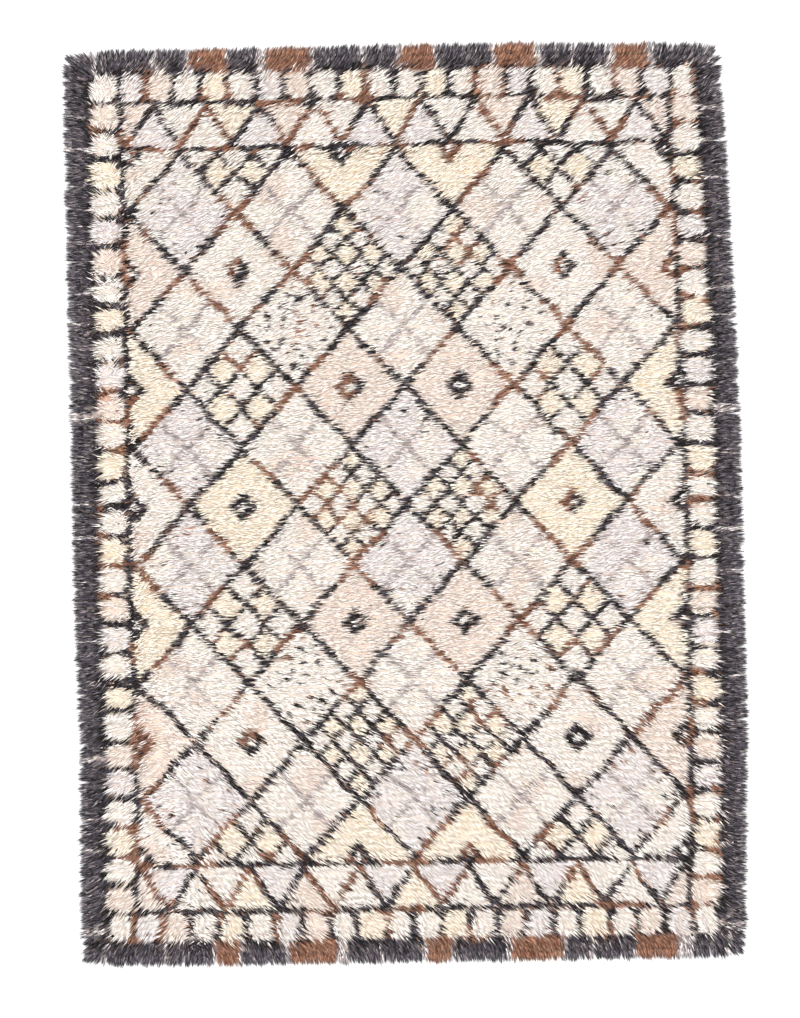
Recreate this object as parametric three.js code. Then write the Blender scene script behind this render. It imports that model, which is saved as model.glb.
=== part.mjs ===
// A hand-knotted shaggy floor rug: one lumpy slab of long pile on a flat woven back,
// with loose locks of yarn standing out all round its rim.
// Millimetres, +Z up. The underside lies on z = 0, the length runs along Y.
import * as THREE from 'three';

// Line where the locks start, measured out from the middle of the rug.
// The weave is a little skewed, and the right edge bulges at half length.
const SIDE_EDGES = [
  { along: -1.0, left: 672, right: 667 },
  { along: -0.8, left: 672, right: 674 },
  { along: -0.5, left: 671, right: 680 },
  { along: -0.2, left: 674, right: 681 },
  { along: 0.1, left: 676, right: 681 },
  { along: 0.4, left: 678, right: 675 },
  { along: 0.7, left: 680, right: 667 },
  { along: 1.0, left: 681, right: 657 },
];
const END_EDGES = [
  { across: -1.0, foot: 938, head: 936 },
  { across: -0.6, foot: 940, head: 940 },
  { across: -0.1, foot: 942, head: 942 },
  { across: 0.4, foot: 943, head: 941 },
  { across: 0.8, foot: 942, head: 939 },
  { across: 1.0, foot: 940, head: 936 },
];
const CORNER_RADIUS = 16;

// Pile
const PILE_HEIGHT = 19;
const RIM_HEIGHT = 12.5;
const RIM_UNEVEN = 2;
const LUMP_HEIGHT = 3.3;
const LUMP_SHIFT = 8;
const SWELL = { height: 0.9, across: 83, along: 97, skew: 190 };
const RIM_ROLL = 28;
const RIM_DROP = 1.5;
const LUMPS = { across: 36, along: 50 };

// Locks of yarn at the rim, counted along one end and along one side
const LOCKS = { end: 63, side: 87 };
const LOCK_REACH = 20.5;
const REACH_UNEVEN = 4;
const CORNER_STRETCH = 0.45;
const LOCK_GAP = 0.2;
const GAP_UNEVEN = 0.09;
const LOCK_LEAN = 6;
const LOCK_BEND_AT = 0.55;
const LEAN_AT_BEND = 0.33;
const BEND_WIDTH = 0.7;
const BEND_HEIGHT = 7.6;
const TIP_HEIGHT = 2.6;

// Flat underside
const BACK_PANELS = { across: 6, along: 8 };
const BACK_MARGIN = 40;

// The corners of the plan, taken anticlockwise, and the way along each edge from them
const EDGES = [
  { from: [-1, -1], way: [1, 0], locks: LOCKS.end },
  { from: [1, -1], way: [0, 1], locks: LOCKS.side },
  { from: [1, 1], way: [-1, 0], locks: LOCKS.end },
  { from: [-1, 1], way: [0, -1], locks: LOCKS.side },
];

// Each kind of unevenness draws on its own series of numbers
const SERIES = { lump: 1, rim: 2, gap: 3, reach: 4, lean: 5, bend: 6, shiftX: 7, shiftY: 8 };
const MIX = { seed: 12.9898, series: 78.233, spread: 43758.5453 };

const points = [];
const faces = [];

function addPoint(x, y, z) {
  points.push(x, y, z);
  return points.length / 3 - 1;
}

function tri(a, b, c) {
  faces.push(a, b, c);
}

function quad(a, b, c, d) {
  tri(a, b, c);
  tri(a, c, d);
}

// Repeatable unevenness between -1 and 1
function uneven(seed, series) {
  const value = Math.sin(seed * MIX.seed + series * MIX.series) * MIX.spread;
  return 2 * (value - Math.floor(value)) - 1;
}

// One column of a table, read at a place between -1 and 1
function readTable(table, key, column, place) {
  let row = 0;
  while (row < table.length - 2 && table[row + 1][key] < place) {
    row += 1;
  }
  const a = table[row];
  const b = table[row + 1];
  const share = THREE.MathUtils.clamp((place - a[key]) / (b[key] - a[key]), 0, 1);
  return a[column] + (b[column] - a[column]) * share;
}

// Plan position of a point given by its share of the way across and along the rug
function plan(across, along, margin) {
  const left = readTable(SIDE_EDGES, 'along', 'left', along) - margin;
  const right = readTable(SIDE_EDGES, 'along', 'right', along) - margin;
  const foot = readTable(END_EDGES, 'across', 'foot', across) - margin;
  const head = readTable(END_EDGES, 'across', 'head', across) - margin;
  let x = -left + (left + right) * (across + 1) / 2;
  let y = -foot + (foot + head) * (along + 1) / 2;
  const edgeX = x > 0 ? right : left;
  const edgeY = y > 0 ? head : foot;
  const overX = (Math.abs(x) - edgeX + CORNER_RADIUS) / CORNER_RADIUS;
  const overY = (Math.abs(y) - edgeY + CORNER_RADIUS) / CORNER_RADIUS;
  if (overX > 0 && overY > 0) {
    const roundX = edgeX - CORNER_RADIUS * (1 - overX * Math.sqrt(1 - overY * overY / 2));
    const roundY = edgeY - CORNER_RADIUS * (1 - overY * Math.sqrt(1 - overX * overX / 2));
    x = Math.sign(x) * roundX;
    y = Math.sign(y) * roundY;
  }
  return [x, y];
}

// Height of the pile's surface, with a slow swell under the separate lumps
function pileHeight(x, y, seed) {
  const swell = Math.sin((x + y * SWELL.across / SWELL.skew) / SWELL.across)
    * Math.sin((y - x * SWELL.along / SWELL.skew) / SWELL.along);
  return PILE_HEIGHT + SWELL.height * swell + LUMP_HEIGHT * uneven(seed, SERIES.lump);
}

// A grid of points over the plan, and the closed loop of its outer points.
// place(x, y, seed, outer) gives the three coordinates of one point.
function makeGrid(size, margin, place, facesUp) {
  const ids = [];
  for (let j = 0; j <= size.along; j += 1) {
    for (let i = 0; i <= size.across; i += 1) {
      const [x, y] = plan(2 * i / size.across - 1, 2 * j / size.along - 1, margin);
      const outer = i === 0 || j === 0 || i === size.across || j === size.along;
      ids.push(addPoint(...place(x, y, ids.length + 1, outer)));
    }
  }
  const at = (i, j) => ids[j * (size.across + 1) + i];
  for (let j = 0; j < size.along; j += 1) {
    for (let i = 0; i < size.across; i += 1) {
      const corners = [at(i, j), at(i + 1, j), at(i + 1, j + 1), at(i, j + 1)];
      if ((i + j) % 2 === 1) {
        corners.push(corners.shift());
      }
      if (!facesUp) {
        corners.reverse();
      }
      quad(...corners);
    }
  }
  const loop = [];
  EDGES.forEach((edge, side) => {
    const steps = side % 2 === 0 ? size.across : size.along;
    for (let k = 0; k < steps; k += 1) {
      const i = (edge.from[0] + 1) / 2 * size.across + edge.way[0] * k;
      const j = (edge.from[1] + 1) / 2 * size.along + edge.way[1] * k;
      loop.push({ id: at(i, j), place: side + k / steps });
    }
  });
  return loop;
}

// A band of triangles between two closed loops that start at the same corner
function joinLoops(outer, inner, facesUp) {
  const add = (a, b, c) => (facesUp ? tri(a, b, c) : tri(a, c, b));
  const placeOf = (loop, k) => (k < loop.length ? loop[k].place : 4);
  const idOf = (loop, k) => loop[k % loop.length].id;
  let i = 0;
  let j = 0;
  while (i < outer.length || j < inner.length) {
    const outerNext = i < outer.length ? placeOf(outer, i + 1) : Infinity;
    const innerNext = j < inner.length ? placeOf(inner, j + 1) : Infinity;
    if (outerNext <= innerNext) {
      add(idOf(outer, i), idOf(outer, i + 1), idOf(inner, j));
      i += 1;
    } else {
      add(idOf(outer, i), idOf(inner, j + 1), idOf(inner, j));
      j += 1;
    }
  }
}

// The rim's points, in order: each corner, then the two sides of each lock's root
function makeRim() {
  const rim = [];
  EDGES.forEach((edge, side) => {
    const addStop = (share, isRoot) => {
      const across = edge.from[0] + 2 * edge.way[0] * share;
      const along = edge.from[1] + 2 * edge.way[1] * share;
      const [x, y] = plan(across, along, 0);
      const seed = rim.length + 1;
      const height = RIM_HEIGHT + RIM_UNEVEN * uneven(seed, SERIES.rim);
      const low = addPoint(x, y, 0);
      const high = addPoint(x, y, height);
      rim.push({ x, y, low, high, isRoot, place: side + share });
    };
    addStop(0, false);
    for (let k = 0; k < edge.locks; k += 1) {
      const gap = (LOCK_GAP + GAP_UNEVEN * uneven(rim.length, SERIES.gap)) / 2;
      addStop((k + gap) / edge.locks, true);
      addStop((k + 1 - gap) / edge.locks, false);
    }
  });
  return rim;
}

// One lock: a four-sided wedge that bends sideways, flat below, thin at its tip.
// It is longer where it slants out over a corner.
function addLock(a, b, seed) {
  const width = Math.hypot(b.x - a.x, b.y - a.y);
  const sideX = (b.x - a.x) / width;
  const sideY = (b.y - a.y) / width;
  const slant = 2 * Math.abs(sideX * sideY);
  const reach = (LOCK_REACH + REACH_UNEVEN * uneven(seed, SERIES.reach))
    * (1 + CORNER_STRETCH * slant);
  const lean = LOCK_LEAN * uneven(seed, SERIES.lean);
  const spot = (out, aside, z) => addPoint(
    (a.x + b.x) / 2 + sideY * out + sideX * aside,
    (a.y + b.y) / 2 - sideX * out + sideY * aside,
    z,
  );
  const bendOut = reach * LOCK_BEND_AT;
  const bendAside = lean * LEAN_AT_BEND;
  const half = width * BEND_WIDTH / 2;
  const bendTop = BEND_HEIGHT + uneven(seed, SERIES.bend);
  const lowA = spot(bendOut, bendAside - half, 0);
  const lowB = spot(bendOut, bendAside + half, 0);
  const highA = spot(bendOut, bendAside - half, bendTop);
  const highB = spot(bendOut, bendAside + half, bendTop);
  const tipLow = spot(reach, lean, 0);
  const tipHigh = spot(reach, lean, TIP_HEIGHT);
  quad(a.low, b.low, lowB, lowA);
  quad(a.high, highA, highB, b.high);
  quad(a.low, lowA, highA, a.high);
  quad(b.low, b.high, highB, lowB);
  tri(lowA, lowB, tipLow);
  tri(highA, tipHigh, highB);
  quad(lowA, tipLow, tipHigh, highA);
  quad(lowB, highB, tipHigh, tipLow);
}

function addWallAndLocks(rim) {
  rim.forEach((a, k) => {
    const b = rim[(k + 1) % rim.length];
    if (a.isRoot) {
      addLock(a, b, k + 1);
    } else {
      quad(a.low, b.low, b.high, a.high);
    }
  });
}

const rim = makeRim();
addWallAndLocks(rim);

const topLoop = makeGrid(LUMPS, RIM_ROLL, (x, y, seed, outer) => {
  const shift = outer ? 0 : LUMP_SHIFT;
  const drop = outer ? RIM_DROP : 0;
  return [
    x + shift * uneven(seed, SERIES.shiftX),
    y + shift * uneven(seed, SERIES.shiftY),
    pileHeight(x, y, seed) - drop,
  ];
}, true);
joinLoops(rim.map((stop) => ({ id: stop.high, place: stop.place })), topLoop, true);

const backLoop = makeGrid(BACK_PANELS, BACK_MARGIN, (x, y) => [x, y, 0], false);
joinLoops(rim.map((stop) => ({ id: stop.low, place: stop.place })), backLoop, false);

const rugGeometry = new THREE.BufferGeometry();
rugGeometry.setAttribute('position', new THREE.Float32BufferAttribute(points, 3));
rugGeometry.setIndex(faces);

// Centre the rug on the origin by its outermost locks
rugGeometry.computeBoundingBox();
const middle = rugGeometry.boundingBox.getCenter(new THREE.Vector3());
rugGeometry.translate(-middle.x, -middle.y, 0);
rugGeometry.computeVertexNormals();

const rug = new THREE.Mesh(
  rugGeometry,
  new THREE.MeshStandardMaterial({ color: '#e8dccb', roughness: 0.95, metalness: 0 }),
);
rug.name = 'rug';

const group = new THREE.Group();
group.name = 'shaggy_rug';
group.add(rug);

export default group;
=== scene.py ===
# A shaggy hand-knotted rug on a pale floor, seen from straight above.
import math

import bmesh
import bpy
import numpy as np
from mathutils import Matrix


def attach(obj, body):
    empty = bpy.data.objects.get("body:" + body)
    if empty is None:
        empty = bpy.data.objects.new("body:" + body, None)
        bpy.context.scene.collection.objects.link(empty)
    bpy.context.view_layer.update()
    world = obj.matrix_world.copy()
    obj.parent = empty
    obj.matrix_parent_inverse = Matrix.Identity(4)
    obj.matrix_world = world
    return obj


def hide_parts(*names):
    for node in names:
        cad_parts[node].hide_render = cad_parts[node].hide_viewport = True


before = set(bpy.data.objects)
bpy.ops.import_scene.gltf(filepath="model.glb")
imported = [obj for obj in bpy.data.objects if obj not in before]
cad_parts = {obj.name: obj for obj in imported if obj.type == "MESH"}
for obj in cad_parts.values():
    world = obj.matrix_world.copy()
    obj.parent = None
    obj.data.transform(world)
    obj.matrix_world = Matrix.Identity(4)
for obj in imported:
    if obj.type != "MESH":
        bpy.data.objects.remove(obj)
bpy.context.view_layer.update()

MM = 0.001

# The photograph's frame: where the rug lies in it and how far it is turned
PHOTO = {"width": 800, "height": 1018, "metres_per_pixel": 0.002096}
RUG_MIDDLE = {"x": 406.2, "y": 503.0}
RUG_TURN = math.radians(1.05)
CAMERA_HEIGHT = 4.6
SENSOR = 36.0
FLOOR = {"wide": 14, "below": 0.0005}
# Strength and colour of the light all round, and strength, softness, tilt and turn of the key
SKY = {"strength": 1.34, "colour": (1.0, 0.995, 0.99, 1)}
KEY = {"strength": 1.25, "softness": 22, "tilt": -24, "turn": 20}

# Line where the knots end, in millimetres from the middle of the rug
SIDE_EDGES = {
    "along": (-1.0, -0.8, -0.5, -0.2, 0.1, 0.4, 0.7, 1.0),
    "left": (674, 672, 668, 676, 676, 676, 678, 677),
    "right": (671, 675, 682, 680, 678, 673, 663, 650),
}
END_EDGES = {
    "across": (-1.0, -0.6, -0.1, 0.4, 0.8, 1.0),
    "foot": (934, 940, 940, 941, 941, 940),
    "head": (935, 937, 938, 938, 932, 928),
}
CORNER_RADIUS = 16
HALF_WIDTH = 680
HALF_LENGTH = 941

# Woven ground and the matted pile low over it
GROUND_TOP = 3.4
GROUND_BOTTOM = 0.7
GROUND_MARGIN = 1.0
HEM_WIDTH = 16
GROUND_GRID = (90, 126)
UNDER_GRID = (56, 78)
UNDER_PILE = {"share": 0.70, "least": 1.2, "margin": 4.0}

# Knots of yarn, in rows across the rug, and the strands cut from them
KNOTS = {"across": 143, "along": 134}
STRANDS = 142500
PARTING_STRANDS = 5000
RIM_STRANDS = 6500
STRAND_LENGTH = 33
STRAND_RADIUS = 1.42
RADIUS_UNEVEN = 0.12
GATHER = 0.21
STRAND_LYING = {"upright": 0.45, "more when down": 0.45}
LOCK_REACH = {"side": 33, "end": 28, "uneven side": 0.06, "uneven end": 0.12, "knot": 0.02}
CORNER_STRETCH = {"within": 60, "by": 0.1}
PILE_BANDS = 6
# Steps that spread the roots evenly with no rows of their own
EVEN_STEPS = {"across": 0.7548776662466927, "along": 0.5698402909980532}
ROOT_UNEVEN = {"across": 0.0022, "along": 0.0020}
RIM_DEPTH = 0.012
# Along a strand: how far out, how much of its bend, how high in the pile
STRAND_POINTS = ((0.0, 0.0, 0.35), (0.5, 1.0, 0.93), (1.0, 0.9, 0.97))
STRAND_BEND = {"strand": 0.7, "knot": 0.35}
STRAND_TURN = {"strand": 0.06, "knot": 0.035}
STRAND_UNEVEN = {"strand": 0.12, "knot": 0.03}
ROW_RIDGE = {"high": 1.1, "half": 7.0, "knot": 0.2}
LAYERS = 0.12
SUNK = 0.8
LOWEST_STRAND = 2.1
LOWEST_CORNER = 0.2

# Height of the pile by distance inside the line of the knots, in millimetres
FULL_PILE = 18.5
PILE_PROFILE = {
    "inside": (-30, -22, -10, 0, 14, 32),
    "height": (2.2, 3.2, 7.5, 11.5, 16, FULL_PILE),
}
# Its lumps: height and size in millimetres, and the seed of each set
LUMPS = ((1.0, 62, 11), (0.4, 34, 12))

# Way the pile lies, in degrees anticlockwise from the right, by millimetres along the rug.
# A strip at the left lies the other way, and the parting between the two slants.
NAP_MAIN = {
    "along": (-935, -784, -633, -482, -331, -180, -29, 121, 272, 423, 574, 725, 876),
    "turn": (-36, -38, -32, -27, -2, 6, 5, 0, 6, 12, 17, 21, 28),
}
NAP_LEFT = {
    "along": (-930, -600, -330, -180, 100, 420, 700, 900),
    "turn": (228, 212, 205, 186, 180, 173, 168, 143),
}
PARTING = {
    "along": (-940, -700, -300, 200, 900),
    "across": (-455, -500, -560, -600, -612),
    "middle": -560.0,
    "reach": 0.98,
    "width": 70,
    "filled": 24,
    "uneven": 16,
    "upright": 0.45,
    "spread": 1.6,
}
# Unevenness of that way: how much in radians, over what size, and the seed of each set
NAP_UNEVEN = ((0.15, 80, 52), (0.03, 34, 53))
# The pile near the rim is combed outward, and the squares of the border spread like tufts
RIM_COMB = {"within": 50, "pull": 1.35, "keeps": 0.75, "evens": 0.6}
SQUARE_SPREAD = {"across": 0.9, "along": 1.0}

# Yarn colours as the eye sees them
YARNS = {
    "white": "#F8F4EF",
    "ivory": "#F6F0E9",
    "cream": "#FBF2E4",
    "butter": "#F8EAD1",
    "beige": "#F3E8E0",
    "rose": "#EBDACF",
    "pearl": "#F1ECEB",
    "lilac": "#E5DDDB",
    "grey": "#B8AEAD",
    "ash": "#827A7E",
    "charcoal": "#56515A",
    "slate": "#3F3B42",
    "black": "#221E1E",
    "brown": "#946A56",
    "chestnut": "#AC836D",
    "umber": "#6F4A3B",
}
# Painted shade: what a strand loses of red, green and blue where it lies lowest, and how sharply
SLIT_PAINTED_SHADE = (0.05, 0.075, 0.08)
SLIT_SHADE_POWER = 1.4
# How uneven the strands of one yarn are, and the darkest and palest that any may be
YARN_UNEVEN = {"pale over": 0.45, "pale": 0.022, "dark": 0.25, "tint": 0.012}
YARN_RANGE = (0.005, 0.97)
# Where along its reach a strand takes its colour from the pattern, and how unevenly
SHOWS = {"at": 0.55, "ragged": 0.08, "rim ragged": 0.08}
STRAY_SHARE = 0.015
STRAY_REACH = 12

# Parts of each yarn in a hundred, for every field of the pattern
FIELDS = {
    "ivory": {"white": 60, "ivory": 38, "beige": 2},
    "yellow": {"cream": 84, "butter": 12, "ivory": 4},
    "pink": {"beige": 82, "rose": 8, "ivory": 10},
    "lilac": {"pearl": 84, "lilac": 8, "white": 8},
    "grey_line": {"grey": 62, "lilac": 28, "pearl": 10},
    "dark_line": {"charcoal": 26, "black": 56, "slate": 12, "brown": 3, "ivory": 3},
    "brown_line": {"brown": 50, "chestnut": 20, "umber": 22, "black": 8},
    "dark_edge": {"charcoal": 42, "slate": 15, "ash": 26, "black": 15, "grey": 2},
    "brown_edge": {"brown": 50, "chestnut": 34, "umber": 16},
    "inner_edge": {"charcoal": 20, "slate": 22, "black": 52, "ash": 6},
    "pale_edge": {"pearl": 20, "ivory": 8, "grey": 42, "ash": 30},
}
FIELD_NAMES = list(FIELDS)
FIELD = {name: number for number, name in enumerate(FIELD_NAMES)}


def linear(hex_colour):
    """Scene-linear red, green and blue of a colour written as the eye sees it."""
    shares = [int(hex_colour[k:k + 2], 16) / 255 for k in (1, 3, 5)]
    return [s / 12.92 if s < 0.04045 else ((s + 0.055) / 1.055) ** 2.4 for s in shares]


# Outline

def plan(across, along, margin=0.0):
    """Plan position in millimetres of points given by their share of the way across and along."""
    left = np.interp(along, SIDE_EDGES["along"], SIDE_EDGES["left"]) - margin
    right = np.interp(along, SIDE_EDGES["along"], SIDE_EDGES["right"]) - margin
    foot = np.interp(across, END_EDGES["across"], END_EDGES["foot"]) - margin
    head = np.interp(across, END_EDGES["across"], END_EDGES["head"]) - margin
    x = -left + (left + right) * (across + 1) / 2
    y = -foot + (foot + head) * (along + 1) / 2
    edge_x = np.where(x > 0, right, left)
    edge_y = np.where(y > 0, head, foot)
    over_x = (np.abs(x) - edge_x + CORNER_RADIUS) / CORNER_RADIUS
    over_y = (np.abs(y) - edge_y + CORNER_RADIUS) / CORNER_RADIUS
    corner = (over_x > 0) & (over_y > 0)
    pull_x = over_x * np.sqrt(np.maximum(1 - over_y**2 / 2, 0))
    pull_y = over_y * np.sqrt(np.maximum(1 - over_x**2 / 2, 0))
    x = np.where(corner, np.sign(x) * (edge_x - CORNER_RADIUS * (1 - pull_x)), x)
    y = np.where(corner, np.sign(y) * (edge_y - CORNER_RADIUS * (1 - pull_y)), y)
    return x, y


def gaps(x, y):
    """Distances in millimetres inside the nearer side and the nearer end, negative outside them."""
    along, across = y / HALF_LENGTH, x / HALF_WIDTH
    left = np.interp(along, SIDE_EDGES["along"], SIDE_EDGES["left"]) + x
    right = np.interp(along, SIDE_EDGES["along"], SIDE_EDGES["right"]) - x
    foot = np.interp(across, END_EDGES["across"], END_EDGES["foot"]) + y
    head = np.interp(across, END_EDGES["across"], END_EDGES["head"]) - y
    return np.minimum(left, right), np.minimum(foot, head)


def inside(x, y):
    """Distance in millimetres inside the line of the knots, negative outside it."""
    side, end = gaps(x, y)
    corner = (side < CORNER_RADIUS) & (end < CORNER_RADIUS)
    round_corner = CORNER_RADIUS - np.hypot(CORNER_RADIUS - side, CORNER_RADIUS - end)
    return np.where(corner, round_corner, np.minimum(side, end))


def waves(x, y, size, seed):
    """Smooth unevenness of about that size in millimetres, mostly between -1 and 1."""
    draw = np.random.default_rng(seed)
    total = np.zeros(np.shape(x))
    count = 9
    for _ in range(count):
        way = draw.uniform(0, 2 * math.pi)
        length = size * draw.uniform(0.7, 1.5)
        start = draw.uniform(0, 2 * math.pi)
        total += np.sin((x * math.cos(way) + y * math.sin(way)) * 2 * math.pi / length + start)
    return total / math.sqrt(count)


def pile_height(x, y):
    """Height in millimetres of the pile's surface, with its lumps."""
    base = np.interp(inside(x, y), PILE_PROFILE["inside"], PILE_PROFILE["height"])
    lumps = sum(high * waves(x, y, size, seed) for high, size, seed in LUMPS)
    return base * (1 + lumps / FULL_PILE)


# Pattern: a lattice of lozenges in a frame of squares, with a row of teeth at each end

LATTICE = {"across": 229.6, "along": 246.7, "line": 12.5, "grey line": 9.2}
CHECKS = {"parts": 3, "line": 5.0, "small parts": 4, "small line": 4.5}
# A small lozenge: its dark outer part and its pale middle, as shares of the way out
SMALL_LOZENGE = {"outer": 0.26, "inner": 0.09}
FLECKS = {"within": 0.8, "size": 22, "over": 0.85}
SPECKS = {"from": 0.5, "to": 0.92, "size": 21, "over": 1.25}
# Other pale yarns in the quiet lozenges, where slow waves run high or low
MIXED = {"size": 130, "pink over": 0.7, "ivory under": -0.6}
BROWN_LINE = {"size": 170, "over": 0.38}
WANDER = {"by": 2.6, "size": 85}
# What fills the lozenges: row by row out from the middle, and by column out from the middle
LOZENGES = (
    ("", "small checks", "", "yellow", "", "ivory"),
    ("lilac", "", "ivory", "", "lilac", ""),
    ("", "pink", "", "checks", "", "yellow"),
    ("ivory", "", "flecks", "", "ivory", ""),
    ("", "small checks", "", "ivory", "", "pink"),
    ("lilac", "", "ivory", "", "lilac", ""),
    ("", "yellow", "", "checks", "", "ivory"),
)
SIDE_BANDS = {"line": 578.0, "squares": 588.0, "edge": 648.0}
END_BANDS = {"line": 746.0, "teeth": 757.0, "rule": 843.0, "squares": 853.0, "edge": 914.0}
TOOTH = {"wide": 114.8, "line": 0.125}
SQUARES = {"end": 58.9, "side": 60.93, "wide": 60.0, "gap": 11.5, "rounding": 19.0}
# Patches along the edge, with slow and quick unevenness of where they end
PATCHES = {"long": 92.0, "start": 1000, "brown within": 625}
PATCH_ENDS = {"slow": 18, "slow size": 61, "quick": 11, "quick size": 23, "shift": 400}
STREAKS = {"side": 0.05, "end": 0.12}
INNER_EDGE = {"side": 13, "end": 7}


def line_kind(x, y, seed):
    """Dark or brown line, in stretches along it."""
    brown = waves(x, y, BROWN_LINE["size"], seed) > BROWN_LINE["over"]
    return np.where(brown, FIELD["brown_line"], FIELD["dark_line"])


def near_whole(value):
    """How far a value is from the nearest whole number."""
    return np.abs(value - np.round(value))


def lozenge_field(x, y):
    """The lattice of lozenges, with what fills each of them."""
    wide, high = LATTICE["across"], LATTICE["along"]
    rising = x / wide + y / high
    falling = x / wide - y / high
    cell_r, cell_f = np.floor(rising), np.floor(falling)
    to_mm = wide * high / math.hypot(wide, high)
    column = cell_r + cell_f + 1
    row = cell_r - cell_f
    out_x = np.abs(x - wide * column / 2) / (wide / 2)
    out_y = np.abs(y - high * row / 2) / (high / 2)
    out = out_x + out_y
    kinds = np.array(LOZENGES)
    row_out = np.minimum(np.abs(row), kinds.shape[0] - 1).astype(int)
    column_out = np.minimum(np.abs(column), kinds.shape[1] - 1).astype(int)
    kind = kinds[row_out, column_out]
    found = np.full(np.shape(x), FIELD["ivory"])
    for name in ("yellow", "pink", "lilac"):
        found = np.where(kind == name, FIELD[name], found)
    # Other pale yarns run into the quiet lozenges here and there
    mixed = waves(x, y, MIXED["size"], 63)
    found = np.where((kind == "ivory") & (mixed > MIXED["pink over"]), FIELD["pink"], found)
    found = np.where((kind == "lilac") & (mixed < MIXED["ivory under"]), FIELD["ivory"], found)
    # Soft grey lines halfway between the dark ones, through the quiet lozenges
    small_checks = kind == "small checks"
    checks = small_checks | (kind == "checks")
    quiet = (row % 2 == 1) & (kind != "flecks")
    off_half = np.minimum(near_whole(rising * 2), near_whole(falling * 2)) * to_mm / 2
    halfway = off_half < LATTICE["grey line"] / 2
    found = np.where(quiet & halfway, FIELD["grey_line"], found)
    # A small lozenge in the middle of the others
    told = (row % 2 == 0) & ~checks
    found = np.where(told & (out < SMALL_LOZENGE["outer"]), line_kind(x, y, 25), found)
    found = np.where(told & (out < SMALL_LOZENGE["inner"]), FIELD["ivory"], found)
    # Short dark flecks over a whole lozenge, and a few specks near the rims of the lilac ones
    flecks = (kind == "flecks") & (out < FLECKS["within"])
    flecks = flecks & (waves(x, y, FLECKS["size"], 61) > FLECKS["over"])
    specks = (kind == "lilac") & (out > SPECKS["from"]) & (out < SPECKS["to"])
    specks = specks & (waves(x, y, SPECKS["size"], 64) > SPECKS["over"])
    found = np.where(flecks | specks, line_kind(x, y, 27), found)
    # Checks: a finer lattice of the same shape, on changing ground
    parts = np.where(small_checks, CHECKS["small parts"], CHECKS["parts"])
    fine_r, fine_f = rising * parts, falling * parts
    ground = np.where((np.floor(fine_r) + np.floor(fine_f)) % 2 == 0, FIELD["ivory"], FIELD["yellow"])
    found = np.where(checks, ground, found)
    fine = np.minimum(near_whole(fine_r), near_whole(fine_f)) * to_mm / parts
    fine_line = fine < np.where(small_checks, CHECKS["small line"], CHECKS["line"])
    found = np.where(checks & fine_line, line_kind(x, y, 23), found)
    line = np.minimum(near_whole(rising), near_whole(falling)) * to_mm < LATTICE["line"] / 2
    return np.where(line, line_kind(x, y, 21), found)


def teeth_field(x, y):
    """A zigzag line, with other yarns in the teeth on either side of it."""
    depth = (np.abs(y) - END_BANDS["teeth"]) / (END_BANDS["rule"] - END_BANDS["teeth"])
    place = x / TOOTH["wide"]
    zigzag = 2 * np.abs(place - np.round(place))
    number = np.abs(np.round(place)).astype(int)
    inner = np.array([FIELD["yellow"], FIELD["ivory"], FIELD["pink"]])[number % 3]
    between = np.floor(np.abs(place)).astype(int)
    outer = np.array([FIELD["lilac"], FIELD["ivory"]])[between % 2]
    found = np.where(depth < zigzag, outer, inner)
    return np.where(np.abs(depth - zigzag) < TOOTH["line"], line_kind(x, y, 33), found)


def squares_field(along, across, pitch, x, y):
    """Squares with rounded corners in changing yarns along a band, set apart by dark gaps."""
    place = along / pitch
    number = np.abs(np.floor(place) + (place < 0)).astype(int)
    yarns = np.array([FIELD["ivory"], FIELD["yellow"], FIELD["ivory"], FIELD["pink"], FIELD["lilac"]])
    rounding = SQUARES["rounding"]
    off_gap = near_whole(place) * pitch - SQUARES["gap"] / 2
    off_rim = SQUARES["wide"] / 2 - np.abs(across - SQUARES["wide"] / 2)
    corner = np.hypot(np.maximum(rounding - off_gap, 0), np.maximum(rounding - off_rim, 0)) > rounding
    return np.where(corner | (off_gap < 0), line_kind(x, y, 35), yarns[number % 5])


def square_spread(x, y):
    """How far a point of the border's squares is from its square's middle, as shares of the pitch."""
    side, end = np.abs(x), np.abs(y)
    at_end = (end > END_BANDS["squares"]) & (end < END_BANDS["edge"])
    at_side = (side > SIDE_BANDS["squares"]) & (side < SIDE_BANDS["edge"])
    at_side = at_side & (end < END_BANDS["squares"])
    off_x = x / SQUARES["end"] % 1 - 0.5
    off_y = y / SQUARES["side"] % 1 - 0.5
    return np.where(at_end, off_x, 0), np.where(at_side, off_y, 0)


def border_field(x, y):
    """Dark sides with a pale streak now and then, and dark and brown patches at the ends."""
    at_end = np.abs(y) > END_BANDS["edge"]
    along = np.where(at_end, x, y)
    slow = PATCH_ENDS["slow"] * np.sin(along / PATCH_ENDS["slow size"])
    quick = PATCH_ENDS["quick"] * np.sin(along / PATCH_ENDS["quick size"] + y / PATCH_ENDS["shift"])
    place = (along + (slow + quick) + PATCHES["start"]) / PATCHES["long"]
    # Two patches of every five are brown
    brown = at_end & (np.floor(place).astype(int) % 5 % 2 == 1)
    brown = brown & (np.abs(x) < PATCHES["brown within"])
    inner_end = np.abs(y) < END_BANDS["edge"] + INNER_EDGE["end"]
    inner_side = np.abs(x) < SIDE_BANDS["edge"] + INNER_EDGE["side"]
    inner = np.where(at_end, inner_end, inner_side)
    dark = np.where(inner, FIELD["inner_edge"], FIELD["dark_edge"])
    found = np.where(brown, FIELD["brown_edge"], dark)
    streak = np.where(at_end, STREAKS["end"], STREAKS["side"])
    return np.where(place % 1 < streak, FIELD["pale_edge"], found)


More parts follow.
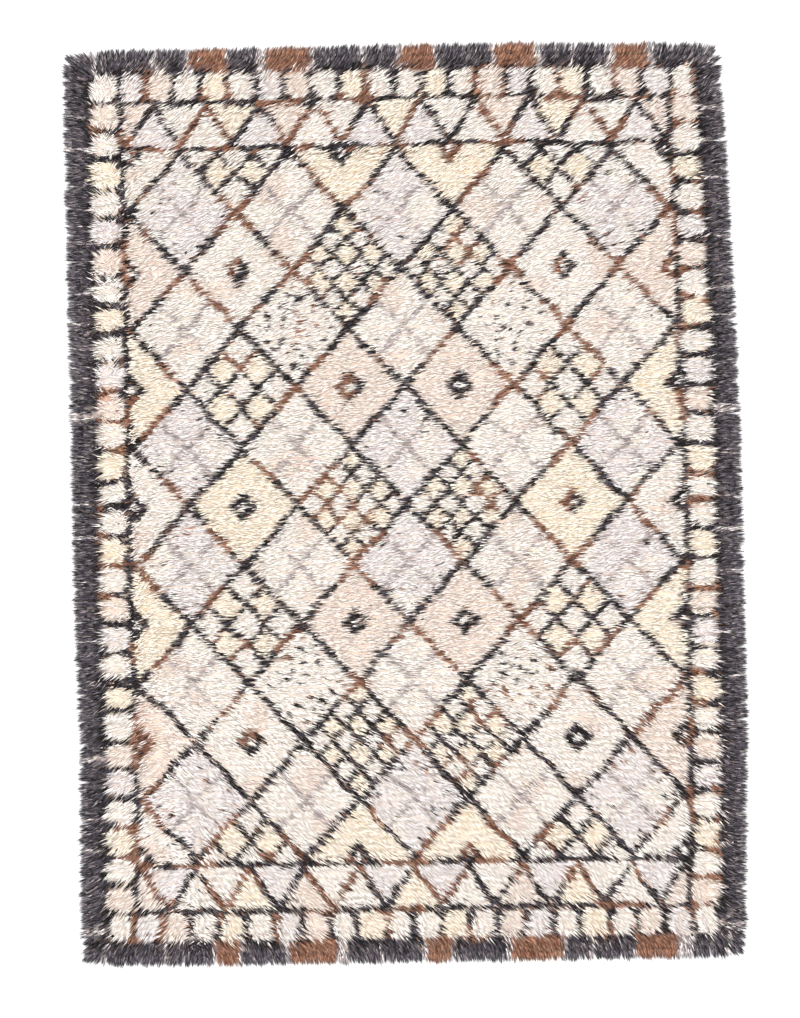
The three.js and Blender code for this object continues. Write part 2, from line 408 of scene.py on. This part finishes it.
def pattern(x, y):
    """Number of the pattern's field at each point, in millimetres from the middle."""
    x = x + WANDER["by"] * waves(x, y, WANDER["size"], 41)
    y = y + WANDER["by"] * waves(x, y, WANDER["size"], 42)
    side, end = np.abs(x), np.abs(y)
    found = lozenge_field(x, y)
    found = np.where(end > END_BANDS["line"], line_kind(x, y, 31), found)
    found = np.where((end > END_BANDS["teeth"]) & (end < END_BANDS["rule"]), teeth_field(x, y), found)
    off_line = end - END_BANDS["squares"]
    found = np.where(off_line > 0, squares_field(x, off_line, SQUARES["end"], x, y), found)
    at_side = (side > SIDE_BANDS["line"]) & (end < END_BANDS["squares"])
    found = np.where(at_side, line_kind(x, y, 37), found)
    off_line = side - SIDE_BANDS["squares"]
    found = np.where(at_side & (off_line > 0), squares_field(y, off_line, SQUARES["side"], x, y), found)
    edge = (side > SIDE_BANDS["edge"]) | (end > END_BANDS["edge"])
    return np.where(edge, border_field(x, y), found)


def yarn_colours(fields, low, draw):
    """A scene-linear colour for each strand, picked by its field's parts, with painted shade where it
    lies low.
    """
    names = list(YARNS)
    table = np.array([linear(YARNS[name]) for name in names])
    parts = np.array([[FIELDS[f].get(name, 0) for name in names] for f in FIELD_NAMES], float)
    bounds = np.cumsum(parts, axis=1) / parts.sum(axis=1, keepdims=True)
    pick = draw.random(len(fields))[:, None]
    yarn = (pick > bounds[fields]).sum(axis=1)
    found = table[yarn]
    pale = found[:, 1:2] > YARN_UNEVEN["pale over"]
    uneven = np.where(pale, YARN_UNEVEN["pale"], YARN_UNEVEN["dark"])
    shade = 1 + uneven * draw.standard_normal((len(fields), 1)).clip(-2, 2.5)
    tint = 1 + YARN_UNEVEN["tint"] * draw.standard_normal((len(fields), 3))
    # Painted shade: the lower a strand lies, the more of its red, green and blue it loses
    slit = 1 - low[:, None] ** SLIT_SHADE_POWER * np.array(SLIT_PAINTED_SHADE)
    return np.clip(found * shade * tint * slit, *YARN_RANGE)


# Pile

def parting_line(x, y):
    """Where the parting runs, in millimetres across the rug."""
    line = np.interp(y, PARTING["along"], PARTING["across"])
    return line + PARTING["uneven"] * waves(x, y, 200, 51)


def knots(draw):
    """Root of each strand and middle of its knot, as shares across and along, and the knot's number."""
    number = np.arange(STRANDS)
    across = ((0.5 + number * EVEN_STEPS["across"]) % 1) * 2 - 1
    along = ((0.5 + number * EVEN_STEPS["along"]) % 1) * 2 - 1
    # More of them at the parting, where the pile falls away to both sides
    more_along = draw.uniform(-PARTING["reach"], PARTING["reach"], PARTING_STRANDS)
    more_y = more_along * HALF_LENGTH
    more_x = parting_line(np.full(PARTING_STRANDS, PARTING["middle"]), more_y)
    more_x = more_x + PARTING["filled"] * draw.uniform(-1, 1, PARTING_STRANDS)
    # More of them round the rim, where the yarn is combed out over the edge
    rim_in = RIM_DEPTH * draw.random(RIM_STRANDS)
    rim_at = draw.uniform(-1, 1, RIM_STRANDS)
    rim_end = draw.random(RIM_STRANDS) < HALF_WIDTH / (HALF_WIDTH + HALF_LENGTH)
    rim_far = draw.choice((-1.0, 1.0), RIM_STRANDS) * (1 - rim_in)
    across = np.concatenate([across, more_x / HALF_WIDTH, np.where(rim_end, rim_at, rim_far)])
    along = np.concatenate([along, more_along, np.where(rim_end, rim_far, rim_at)])
    column = np.floor((across + 1) / 2 * KNOTS["across"]).astype(int)
    row = np.floor((along + 1) / 2 * KNOTS["along"]).astype(int)
    middle = ((column + 0.5) / KNOTS["across"] * 2 - 1, (row + 0.5) / KNOTS["along"] * 2 - 1)
    across = across + ROOT_UNEVEN["across"] * draw.uniform(-1, 1, across.size)
    along = along + ROOT_UNEVEN["along"] * draw.uniform(-1, 1, across.size)
    return (across.clip(-1, 1), along.clip(-1, 1)), middle, row * KNOTS["across"] + column


def lay(x, y, chance):
    """Turn of each strand in plan, and how far it lies down, from 0 to 1."""
    main = np.radians(np.interp(y, NAP_MAIN["along"], NAP_MAIN["turn"]))
    left = np.radians(np.interp(y, NAP_LEFT["along"], NAP_LEFT["turn"]))
    share = np.clip(0.5 + (parting_line(x, y) - x) / PARTING["width"], 0, 1)
    falls_left = share > chance
    way_x = np.where(falls_left, np.cos(left), np.cos(main))
    way_y = np.where(falls_left, np.sin(left), np.sin(main))
    upright = 1 - np.abs(2 * share - 1)
    down = 1 - PARTING["upright"] * upright
    spread_x, spread_y = square_spread(x, y)
    way_x = way_x + SQUARE_SPREAD["across"] * spread_x
    way_y = way_y + SQUARE_SPREAD["along"] * spread_y
    # Combed outward near the rim
    side = np.clip(1 - (HALF_WIDTH - np.abs(x)) / RIM_COMB["within"], 0, 1.1)
    end = np.clip(1 - (HALF_LENGTH - np.abs(y)) / RIM_COMB["within"], 0, 1.1)
    out = np.minimum(np.maximum(side, end), 1)
    way_x = way_x * down * (1 - RIM_COMB["keeps"] * out) + RIM_COMB["pull"] * np.sign(x) * side
    way_y = way_y * down * (1 - RIM_COMB["keeps"] * out) + RIM_COMB["pull"] * np.sign(y) * end
    down = np.clip(np.hypot(way_x, way_y), 0.1, 1)
    turn = np.arctan2(way_y, way_x)
    uneven = sum(much * waves(x, y, size, seed) for much, size, seed in NAP_UNEVEN)
    turn += (1 - RIM_COMB["evens"] * out) * uneven
    turn += PARTING["spread"] * upright * (1 - out) * (chance - 0.5)
    return turn, down


def strand_reach(x, y, way_x, way_y, length, knot_uneven, draw):
    """How far each strand reaches in plan, held to an even fringe past the rim."""
    side, end = gaps(x, y)
    near = CORNER_STRETCH["within"]
    cornered = np.clip(1 - side / near, 0, 1) * np.clip(1 - end / near, 0, 1)
    reach = length * (1 + CORNER_STRETCH["by"] * cornered)
    uneven = draw.standard_normal(x.size).clip(-2.5, 1.5)
    to_side = LOCK_REACH["side"] * (1 + knot_uneven + LOCK_REACH["uneven side"] * uneven) + side
    to_end = LOCK_REACH["end"] * (1 + knot_uneven + LOCK_REACH["uneven end"] * uneven) + end
    outward_x = np.maximum(way_x * np.sign(x), 0.01)
    outward_y = np.maximum(way_y * np.sign(y), 0.01)
    return np.minimum(reach, np.minimum(to_side / outward_x, to_end / outward_y))


def strand_colours(root, middle, turn, reach, low, draw):
    """Colour of each strand, from the pattern at the place where it shows, with a few strays."""
    inward = inside(*plan(*root))
    ragged = SHOWS["ragged"] + SHOWS["rim ragged"] * np.clip(1 - (inward - 30) / 60, 0, 1)
    show = reach * (SHOWS["at"] + ragged * draw.standard_normal(turn.size).clip(-2, 2))
    seen_x = (middle[0] + root[0]) / 2 * HALF_WIDTH + np.cos(turn) * show
    seen_y = (middle[1] + root[1]) / 2 * HALF_LENGTH + np.sin(turn) * show
    stray = draw.random(turn.size) < STRAY_SHARE
    seen_x = seen_x + np.where(stray, STRAY_REACH * draw.standard_normal(turn.size), 0)
    seen_y = seen_y + np.where(stray, STRAY_REACH * draw.standard_normal(turn.size), 0)
    return yarn_colours(pattern(seen_x, seen_y), low, draw)


def strand_lines(draw):
    """Three points on the middle line of each strand, from its root to its tip, and its colour."""
    root, middle, knot = knots(draw)
    x, y = plan(*root)
    knot_x, knot_y = plan(*middle)
    knot_count = KNOTS["across"] * KNOTS["along"]
    turn, down = lay(knot_x, knot_y, draw.random(x.size))
    of_knot = draw.standard_normal((4, knot_count)).clip(-2.2, 2.2)[:, knot]
    aside = (x - knot_x) * -np.sin(turn) + (y - knot_y) * np.cos(turn)
    own_turn = STRAND_TURN["strand"] * draw.standard_normal(x.size)
    turn = turn + STRAND_TURN["knot"] * of_knot[0] + own_turn
    way_x, way_y = np.cos(turn), np.sin(turn)
    own_length = STRAND_UNEVEN["strand"] * draw.standard_normal(x.size).clip(-2, 2)
    length = STRAND_LENGTH * (1 + STRAND_UNEVEN["knot"] * of_knot[1] + own_length)
    length = length * (STRAND_LYING["upright"] + STRAND_LYING["more when down"] * down)
    reach = strand_reach(x, y, way_x, way_y, length, LOCK_REACH["knot"] * of_knot[1], draw)
    # How low each strand lies: it sits lower in the pile and gets painted shade in its colour
    low = draw.random(x.size)
    ridge = ROW_RIDGE["high"] * np.cos((y - knot_y) / ROW_RIDGE["half"] * math.pi)
    ridge = ridge + ROW_RIDGE["knot"] * of_knot[3]
    layer = 1 - LAYERS * low
    bend = STRAND_BEND["strand"] * draw.standard_normal(x.size).clip(-2, 2)
    bend = bend + STRAND_BEND["knot"] * of_knot[2] - GATHER * aside
    points = np.zeros((x.size, 3, 3))
    for k, (far, off, rise) in enumerate(STRAND_POINTS):
        points[:, k, 0] = x + way_x * reach * far - way_y * bend * off
        points[:, k, 1] = y + way_y * reach * far + way_x * bend * off
        top = pile_height(points[:, k, 0], points[:, k, 1])
        points[:, k, 2] = top * rise * layer + ridge * (k > 0) - SUNK
    points[:, :, 2] = np.maximum(points[:, :, 2], LOWEST_STRAND)
    return points, strand_colours(root, middle, turn, reach, low, draw)


def ring(middle, tangent, radius, turn):
    """Three points round a strand."""
    side = np.cross(tangent, (0.0, 0.0, 1.0))
    side /= np.linalg.norm(side, axis=1, keepdims=True) + 1e-9
    over = np.cross(side, tangent)
    corners = []
    for k in range(3):
        angle = (turn + k * 2 * math.pi / 3)[:, None]
        corners.append(middle + radius[:, None] * (np.cos(angle) * side + np.sin(angle) * over))
    return np.stack(corners, axis=1)


def unit(vectors):
    """The vectors at length 1."""
    return vectors / (np.linalg.norm(vectors, axis=1, keepdims=True) + 1e-9)


# One strand: its root low in the pile, a ring of three points at its bend, and its tip
STRAND_FACES = np.array(
    [(0, 1 + k, 1 + (k + 1) % 3) for k in range(3)]
    + [(1 + (k + 1) % 3, 1 + k, 4) for k in range(3)]
)
# How far out each of its corners is
STRAND_OUT = (0.0, 0.6, 0.6, 0.6, 1.0)
# Its faces in a cell of the flat map: three columns, and a slit between the lower and upper ones
ROOT_V, BEND_V, TIP_V = 0.04, 0.5, 0.96
SLIT_V = 0.01
COLUMN_LEFT, COLUMN_RIGHT, COLUMN_STEP = 0.04, 0.33, 0.31


def strand_flat():
    """Where the corners of a strand's faces lie in its own unit cell of the flat map."""
    left = [COLUMN_LEFT + COLUMN_STEP * k for k in range(3)]
    right = [COLUMN_RIGHT + COLUMN_STEP * k for k in range(3)]
    middle = [(a + b) / 2 for a, b in zip(left, right)]
    under, over = BEND_V - SLIT_V, BEND_V + SLIT_V
    cell = [((middle[k], ROOT_V), (left[k], under), (right[k], under)) for k in range(3)]
    cell += [((right[k], over), (left[k], over), (middle[k], TIP_V)) for k in range(3)]
    return np.array(cell)


def pile_piece(name, points, colours, material, draw):
    """One closed tapered strand after another, all in one mesh."""
    count = len(points)
    turn = draw.uniform(0, 2 * math.pi / 3, count)
    radius = STRAND_RADIUS * (1 + RADIUS_UNEVEN * draw.standard_normal(count).clip(-2, 2))
    bend_ring = ring(points[:, 1], unit(points[:, 2] - points[:, 0]), radius, turn)
    corners = np.concatenate([points[:, :1], bend_ring, points[:, 2:]], axis=1)
    corners[:, :, 2] = np.maximum(corners[:, :, 2], LOWEST_CORNER)
    faces = (STRAND_FACES[None] + 5 * np.arange(count)[:, None, None]).reshape(-1, 3)

    mesh = bpy.data.meshes.new(name)
    mesh.vertices.add(count * 5)
    mesh.vertices.foreach_set("co", (corners * MM).ravel())
    mesh.loops.add(faces.size)
    mesh.loops.foreach_set("vertex_index", faces.ravel())
    mesh.polygons.add(len(faces))
    mesh.polygons.foreach_set("loop_start", np.arange(0, faces.size, 3))
    mesh.polygons.foreach_set("use_smooth", np.ones(len(faces), bool))
    mesh.update(calc_edges=True)

    cells = math.ceil(math.sqrt(count))
    cell = np.arange(count)
    corner = np.stack([cell % cells, cell // cells], axis=1)[:, None, None, :]
    flat = (strand_flat()[None] + corner) / cells
    flat_map = mesh.uv_layers.new(name="OFBake")
    flat_map.data.foreach_set("uv", flat.ravel())

    yarn = np.ones((count, 5, 4))
    yarn[:, :, :3] = colours[:, None, :]
    mesh.attributes.new("yarn", "FLOAT_COLOR", "POINT").data.foreach_set("color", yarn.ravel())
    out = np.tile(STRAND_OUT, count)
    mesh.attributes.new("out", "FLOAT", "POINT").data.foreach_set("value", out)
    mesh.materials.append(material)
    return place(bpy.data.objects.new(name, mesh), "pile")


def place(piece, slot):
    """Put a finished piece in the scene, on the rug's body and in place of its solid."""
    if piece.name not in bpy.context.scene.collection.objects:
        bpy.context.scene.collection.objects.link(piece)
    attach(piece, "root")
    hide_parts("rug")
    return piece


def pile(material):
    """The whole pile, in bands along the rug."""
    draw = np.random.default_rng(4)
    points, colours = strand_lines(draw)
    band = np.clip((points[:, 0, 1] / HALF_LENGTH + 1) / 2 * PILE_BANDS, 0, PILE_BANDS - 0.001)
    band = band.astype(int)
    return [
        pile_piece(f"pile_{k + 1}", points[band == k], colours[band == k], material, draw)
        for k in range(PILE_BANDS)
    ]


# Woven ground and under-pile

def slab(name, grid, margin, top, bottom, slot, material):
    """A closed sheet over the rug's plan, between two heights in millimetres."""
    bpy.ops.object.select_all(action="DESELECT")
    bpy.ops.mesh.primitive_grid_add(x_subdivisions=grid[0], y_subdivisions=grid[1], size=2)
    piece = bpy.context.object
    piece.name = name
    piece.data.name = name
    bpy.ops.object.transform_apply(location=True, rotation=True, scale=True)
    bm = bmesh.new()
    bm.from_mesh(piece.data)
    made = bmesh.ops.extrude_face_region(bm, geom=bm.faces[:])
    upper = {v for v in made["geom"] if isinstance(v, bmesh.types.BMVert)}
    share = np.array([v.co[:] for v in bm.verts])
    x, y = plan(share[:, 0], share[:, 1], margin)
    is_top = np.array([v in upper for v in bm.verts])
    z = np.where(is_top, top(x, y), bottom(x, y))
    for v, place_at in zip(bm.verts, np.stack([x, y, z], axis=1) * MM):
        v.co = place_at
    bmesh.ops.recalc_face_normals(bm, faces=bm.faces[:])
    bm.to_mesh(piece.data)
    bm.free()
    count = len(piece.data.vertices)
    colours = np.ones((count, 4))
    draw = np.random.default_rng(17)
    u, v = share[:, 0] * HALF_WIDTH, share[:, 1] * HALF_LENGTH
    colours[:, :3] = yarn_colours(pattern(u, v), np.zeros(count), draw)
    layer = piece.data.attributes.new("yarn", "FLOAT_COLOR", "POINT")
    layer.data.foreach_set("color", colours.ravel())
    piece.data.polygons.foreach_set("use_smooth", np.ones(len(piece.data.polygons), bool))
    piece.data.materials.clear()
    piece.data.materials.append(material)
    return place(piece, slot)


def ground_top(x, y):
    """Top of the weave, level all over."""
    return GROUND_TOP + 0 * x


def ground_bottom(x, y):
    """Underside of the weave, which rests on its folded hems."""
    hem = np.abs(y) > HALF_LENGTH - HEM_WIDTH
    return np.where(hem, 0.0, GROUND_BOTTOM)


def under_top(x, y):
    """Top of the matted wool, some way below the tips."""
    return np.maximum(UNDER_PILE["share"] * pile_height(x, y), GROUND_TOP + UNDER_PILE["least"])


# Materials

# Painted shade on the wool, multiplied in: at a strand's root, between fibres, and low in the pile
ROOT_PAINTED_SHADE = (0.94, 0.90, 0.88, 1)
FIBRE_PAINTED_SHADE = (0.90, 0.87, 0.84, 1)
MATTED_PAINTED_SHADE = (0.92, 0.85, 0.79, 1)
MATTED_FIBRE_PAINTED_SHADE = (0.78, 0.73, 0.68, 1)
# The weave's painted shade between its threads and its own colour on them, and the floor's two
# near-whites
THREAD_COLOURS_AND_PAINTED_SHADE = ((0.42, 0.34, 0.25, 1), (0.74, 0.66, 0.54, 1))
FLOOR_COLOURS = ((0.92, 0.92, 0.92, 1), (0.94, 0.94, 0.94, 1))
# Fineness of the fibres and their relief, in the yarn and in the matted wool
YARN_FIBRES = (700.0, 0.2)
MATTED_FIBRES = (400.0, 1.4)
# Fineness of the threads, and of the rows and columns of knot backs
WEAVE = {"threads": 120.0, "rows": 22.4, "columns": 33.0}

def nodes_of(material):
    """The material's node tree and its shader."""
    material.use_nodes = True
    tree = material.node_tree
    return tree, tree.nodes["Principled BSDF"]


def add_node(tree, kind, **values):
    """A new node with these values set."""
    node = tree.nodes.new(kind)
    for name, value in values.items():
        setattr(node, name, value)
    return node


def mix_colour(tree, blend, amount, first, second):
    """A Mix node on two colours, each a socket or a plain colour."""
    node = add_node(tree, "ShaderNodeMix", data_type="RGBA", blend_type=blend)
    for socket, value in ((node.inputs[0], amount), (node.inputs[6], first), (node.inputs[7], second)):
        if isinstance(value, bpy.types.NodeSocket):
            tree.links.new(value, socket)
        else:
            socket.default_value = value
    return node.outputs[2]


def attribute(tree, name, output):
    """An output of the piece's own attribute."""
    node = add_node(tree, "ShaderNodeAttribute", attribute_name=name)
    return node.outputs[output]


def object_place(tree):
    """Place on the piece, in metres."""
    return add_node(tree, "ShaderNodeTexCoord").outputs["Object"]


def noise(tree, where, scale):
    """Soft unevenness of that fineness."""
    node = add_node(tree, "ShaderNodeTexNoise")
    node.inputs["Scale"].default_value = scale
    node.inputs["Detail"].default_value = 3.0
    tree.links.new(where, node.inputs["Vector"])
    return node.outputs["Fac"]


def spread(tree, value, low, high):
    """The value from 0 to 1 laid between low and high."""
    node = add_node(tree, "ShaderNodeMapRange")
    node.inputs["To Min"].default_value = low
    node.inputs["To Max"].default_value = high
    tree.links.new(value, node.inputs["Value"])
    return node.outputs["Result"]


def bump(tree, height, strength, distance):
    """Surface direction from a height."""
    node = add_node(tree, "ShaderNodeBump")
    node.inputs["Strength"].default_value = strength
    node.inputs["Distance"].default_value = distance
    tree.links.new(height, node.inputs["Height"])
    return node.outputs["Normal"]


def fibre_group():
    """Wool fibre: a mask of painted shade where it would lie deeper, how rough it is, and the way its
    surface faces.
    """
    group = bpy.data.node_groups.new("wool_fibre", "ShaderNodeTree")
    group.interface.new_socket("Place", in_out="INPUT", socket_type="NodeSocketVector")
    group.interface.new_socket("Fineness", in_out="INPUT", socket_type="NodeSocketFloat")
    group.interface.new_socket("Relief", in_out="INPUT", socket_type="NodeSocketFloat")
    group.interface.new_socket("Painted shade", in_out="OUTPUT", socket_type="NodeSocketFloat")
    group.interface.new_socket("Roughness", in_out="OUTPUT", socket_type="NodeSocketFloat")
    group.interface.new_socket("Normal", in_out="OUTPUT", socket_type="NodeSocketVector")
    start = group.nodes.new("NodeGroupInput")
    end = group.nodes.new("NodeGroupOutput")
    fine = add_node(group, "ShaderNodeTexNoise")
    fine.inputs["Detail"].default_value = 3.0
    broad = add_node(group, "ShaderNodeTexNoise")
    broad.inputs["Detail"].default_value = 2.0
    less = add_node(group, "ShaderNodeMath", operation="MULTIPLY")
    less.inputs[1].default_value = 0.4
    group.links.new(start.outputs["Fineness"], less.inputs[0])
    group.links.new(start.outputs["Place"], fine.inputs["Vector"])
    group.links.new(start.outputs["Place"], broad.inputs["Vector"])
    group.links.new(start.outputs["Fineness"], fine.inputs["Scale"])
    group.links.new(less.outputs[0], broad.inputs["Scale"])
    group.links.new(broad.outputs["Fac"], end.inputs["Painted shade"])
    group.links.new(spread(group, fine.outputs["Fac"], 0.78, 0.96), end.inputs["Roughness"])
    raised = add_node(group, "ShaderNodeMath", operation="MULTIPLY")
    group.links.new(fine.outputs["Fac"], raised.inputs[0])
    group.links.new(start.outputs["Relief"], raised.inputs[1])
    group.links.new(bump(group, raised.outputs[0], 1.0, 0.001), end.inputs["Normal"])
    return group


def fibres(tree, group, fineness, relief):
    """Outputs of the wool fibre, at that fineness and relief."""
    node = add_node(tree, "ShaderNodeGroup", node_tree=group)
    tree.links.new(object_place(tree), node.inputs["Place"])
    node.inputs["Fineness"].default_value = fineness
    node.inputs["Relief"].default_value = relief
    return node.outputs


def yarn_material(group):
    """Wool yarn: each strand its own shade, with a little painted shade at its root and between its
    fibres, and soft fibres.
    """
    material = bpy.data.materials.new("wool_yarn")
    tree, shader = nodes_of(material)
    yarn = attribute(tree, "yarn", "Color")
    # Painted shade: the colour darkens toward each strand's root, low in the pile
    root = spread(tree, attribute(tree, "out", "Fac"), 0.5, 0.0)
    painted_deep = mix_colour(tree, "MULTIPLY", root, yarn, ROOT_PAINTED_SHADE)
    fibre = fibres(tree, group, *YARN_FIBRES)
    # Painted shade: soft patches between the fibres darken the colour a little
    shade = spread(tree, fibre["Painted shade"], 0.0, 0.16)
    colour = mix_colour(tree, "MULTIPLY", shade, painted_deep, FIBRE_PAINTED_SHADE)
    tree.links.new(colour, shader.inputs["Base Color"])
    tree.links.new(fibre["Roughness"], shader.inputs["Roughness"])
    tree.links.new(fibre["Normal"], shader.inputs["Normal"])
    shader.inputs["Specular IOR Level"].default_value = 0.06
    shader.inputs["Sheen Weight"].default_value = 0.04
    shader.inputs["Sheen Roughness"].default_value = 0.6
    return material


def under_material(group):
    """Matted wool low in the pile, in the yarns' colours darkened with painted shade."""
    material = bpy.data.materials.new("matted_wool")
    tree, shader = nodes_of(material)
    yarn = attribute(tree, "yarn", "Color")
    fibre = fibres(tree, group, *MATTED_FIBRES)
    # Painted shade: the matted wool is darker than the yarn, and darker again in patches
    painted_deep = mix_colour(tree, "MULTIPLY", 1.0, yarn, MATTED_PAINTED_SHADE)
    shade = spread(tree, fibre["Painted shade"], 0.0, 0.7)
    colour = mix_colour(tree, "MULTIPLY", shade, painted_deep, MATTED_FIBRE_PAINTED_SHADE)
    tree.links.new(colour, shader.inputs["Base Color"])
    tree.links.new(fibre["Roughness"], shader.inputs["Roughness"])
    tree.links.new(fibre["Normal"], shader.inputs["Normal"])
    return material


def weave_group():
    """Plain weave: how high the threads stand, from two crossed sets of them."""
    group = bpy.data.node_groups.new("plain_weave", "ShaderNodeTree")
    group.interface.new_socket("Place", in_out="INPUT", socket_type="NodeSocketVector")
    group.interface.new_socket("Threads", in_out="INPUT", socket_type="NodeSocketFloat")
    group.interface.new_socket("Height", in_out="OUTPUT", socket_type="NodeSocketFloat")
    start = group.nodes.new("NodeGroupInput")
    end = group.nodes.new("NodeGroupOutput")
    waves_found = []
    for direction in ("X", "Y"):
        wave = add_node(group, "ShaderNodeTexWave", wave_type="BANDS", bands_direction=direction)
        wave.inputs["Distortion"].default_value = 0.6
        group.links.new(start.outputs["Place"], wave.inputs["Vector"])
        group.links.new(start.outputs["Threads"], wave.inputs["Scale"])
        waves_found.append(wave.outputs["Fac"])
    crossed = add_node(group, "ShaderNodeMath", operation="MULTIPLY")
    group.links.new(waves_found[0], crossed.inputs[0])
    group.links.new(waves_found[1], crossed.inputs[1])
    group.links.new(crossed.outputs[0], end.inputs["Height"])
    return group


def ground_material():
    """The woven back: undyed threads with the knots' backs showing in rows."""
    material = bpy.data.materials.new("woven_ground")
    tree, shader = nodes_of(material)
    where = object_place(tree)
    weave = add_node(tree, "ShaderNodeGroup", node_tree=weave_group())
    tree.links.new(where, weave.inputs["Place"])
    weave.inputs["Threads"].default_value = WEAVE["threads"]
    height = weave.outputs["Height"]
    rows = add_node(tree, "ShaderNodeTexWave", wave_type="BANDS", bands_direction="Y")
    rows.inputs["Scale"].default_value = WEAVE["rows"]
    rows.inputs["Distortion"].default_value = 0.3
    tree.links.new(where, rows.inputs["Vector"])
    columns = add_node(tree, "ShaderNodeTexWave", wave_type="BANDS", bands_direction="X")
    columns.inputs["Scale"].default_value = WEAVE["columns"]
    columns.inputs["Distortion"].default_value = 0.3
    tree.links.new(where, columns.inputs["Vector"])
    knot = add_node(tree, "ShaderNodeMath", operation="MULTIPLY")
    tree.links.new(rows.outputs["Fac"], knot.inputs[0])
    tree.links.new(spread(tree, columns.outputs["Fac"], 0.45, 1.0), knot.inputs[1])
    knot_rows = spread(tree, knot.outputs[0], -0.35, 1.0)
    # Painted shade: the weave darkens where its threads lie low, between them
    threads = mix_colour(tree, "MIX", height, *THREAD_COLOURS_AND_PAINTED_SHADE)
    yarn = attribute(tree, "yarn", "Color")
    colour = mix_colour(tree, "MIX", knot_rows, threads, yarn)
    tree.links.new(colour, shader.inputs["Base Color"])
    tree.links.new(spread(tree, height, 0.96, 0.84), shader.inputs["Roughness"])
    tree.links.new(bump(tree, height, 0.9, 0.0012), shader.inputs["Normal"])
    return material


def floor_material():
    """Matt pale plaster, very nearly even."""
    material = bpy.data.materials.new("pale_floor")
    tree, shader = nodes_of(material)
    where = object_place(tree)
    clouds = noise(tree, where, 3.0)
    colour = mix_colour(tree, "MIX", clouds, *FLOOR_COLOURS)
    tree.links.new(colour, shader.inputs["Base Color"])
    grain = noise(tree, where, 220.0)
    tree.links.new(spread(tree, grain, 0.86, 0.95), shader.inputs["Roughness"])
    tree.links.new(bump(tree, grain, 0.15, 0.0005), shader.inputs["Normal"])
    shader.inputs["Specular IOR Level"].default_value = 0.1
    return material


# Camera, floor and light

def make_camera():
    """Straight above the rug, turned and shifted as the photograph frames it."""
    scale = PHOTO["metres_per_pixel"]
    right = (RUG_MIDDLE["x"] - PHOTO["width"] / 2) * scale
    up = (PHOTO["height"] / 2 - RUG_MIDDLE["y"]) * scale
    turn = -RUG_TURN
    data = bpy.data.cameras.new("overhead")
    data.sensor_fit = "VERTICAL"
    data.sensor_height = SENSOR
    data.lens = SENSOR * CAMERA_HEIGHT / (PHOTO["height"] * scale)
    data.clip_end = 50
    camera = bpy.data.objects.new("overhead", data)
    bpy.context.scene.collection.objects.link(camera)
    camera.location = (
        -right * math.cos(turn) + up * math.sin(turn),
        -right * math.sin(turn) - up * math.cos(turn),
        CAMERA_HEIGHT,
    )
    camera.rotation_euler = (0, 0, turn)
    bpy.context.scene.camera = camera


def make_floor():
    """A wide plain floor just under the rug."""
    bpy.ops.object.select_all(action="DESELECT")
    bpy.ops.mesh.primitive_plane_add(size=FLOOR["wide"], location=(0, 0, -FLOOR["below"]))
    floor = bpy.context.object
    floor.name = "floor"
    floor.data.materials.append(floor_material())


def make_light():
    """Even pale light from all round, and one broad soft key."""
    scene = bpy.context.scene
    world = bpy.data.worlds.new("studio")
    world.use_nodes = True
    background = world.node_tree.nodes["Background"]
    background.inputs["Color"].default_value = SKY["colour"]
    background.inputs["Strength"].default_value = SKY["strength"]
    scene.world = world
    sun = bpy.data.lights.new("key", "SUN")
    sun.energy = KEY["strength"]
    sun.angle = math.radians(KEY["softness"])
    key = bpy.data.objects.new("key", sun)
    key.rotation_euler = (math.radians(KEY["tilt"]), 0, math.radians(KEY["turn"]))
    scene.collection.objects.link(key)
    scene.view_settings.view_transform = "Standard"


make_camera()
make_floor()
make_light()
fibre_nodes = fibre_group()
strands = pile(yarn_material(fibre_nodes))
# The under-pile fills the gaps between the strands in darkened colours, painted shade for the depth of
# the pile
under = slab(
    "under_pile", UNDER_GRID, UNDER_PILE["margin"], under_top, ground_top, "pile",
    under_material(fibre_nodes),
)
ground = slab(
    "woven_ground", GROUND_GRID, GROUND_MARGIN, ground_top, ground_bottom, "ground_weave",
    ground_material(),
)
